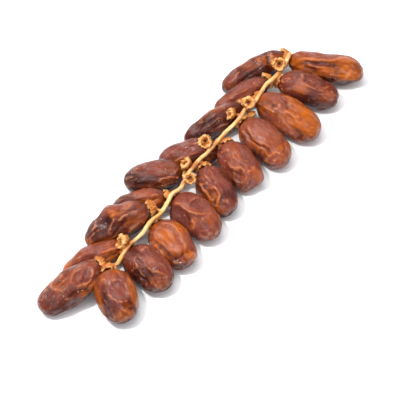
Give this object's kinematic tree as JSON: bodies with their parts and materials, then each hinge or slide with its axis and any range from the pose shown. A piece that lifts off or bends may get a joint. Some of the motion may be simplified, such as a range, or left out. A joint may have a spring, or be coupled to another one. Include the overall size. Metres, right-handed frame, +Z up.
{
  "type": "date bunch",
  "caption": "Bunch of ripe dates on its fruiting strand, lying on a table, with woody caps and some empty cups along the strand.",
  "frame": {"origin": "middle of the bunch's box, at the bottom, on the surface that the dates rest on", "axes": "+Y along the strand towards its cut end, +Z up, +X to the right of the strand seen from above with the cut end at the top"},
  "size_m": [0.0826, 0.263, 0.0244],
  "materials": {
    "date_skin": "semi-gloss, wrinkled, with a waxy bloom",
    "strand_wood": "satin, fibrous",
    "cap_wood": "satin, fibrous"
  },
  "bodies": {
    "root": {"fruiting_strand": "strand_wood", "date_right_01": "date_skin", "date_right_02": "date_skin", "date_right_03": "date_skin", "date_right_04": "date_skin", "date_right_05": "date_skin", "date_right_06": "date_skin", "date_right_07": "date_skin", "date_right_08": "date_skin", "date_right_09": "date_skin", "date_right_10": "date_skin", "date_left_01": "date_skin", "date_left_02": "date_skin", "date_left_03": "date_skin", "date_left_04": "date_skin", "date_left_05": "date_skin", "date_left_06": "date_skin", "date_left_07": "date_skin", "date_left_08": "date_skin", "date_left_09": "date_skin", "cap_right_01": "cap_wood", "cap_right_02": "cap_wood", "cap_right_03": "cap_wood", "cap_right_04": "cap_wood", "cap_right_05": "cap_wood", "cap_right_06": "cap_wood", "cap_right_07": "cap_wood", "cap_right_08": "cap_wood", "cap_right_09": "cap_wood", "cap_right_10": "cap_wood", "cap_left_01": "cap_wood", "cap_left_02": "cap_wood", "cap_left_03": "cap_wood", "cap_left_04": "cap_wood", "cap_left_05": "cap_wood", "cap_left_06": "cap_wood", "cap_left_07": "cap_wood", "cap_left_08": "cap_wood", "cap_left_09": "cap_wood", "empty_cup_01": "cap_wood", "empty_cup_02": "cap_wood", "empty_cup_03": "cap_wood", "empty_cup_04": "cap_wood", "empty_cup_05": "cap_wood", "empty_cup_06": "cap_wood", "empty_cup_07": "cap_wood", "empty_cup_08": "cap_wood"}
  },
  "joints": []
}
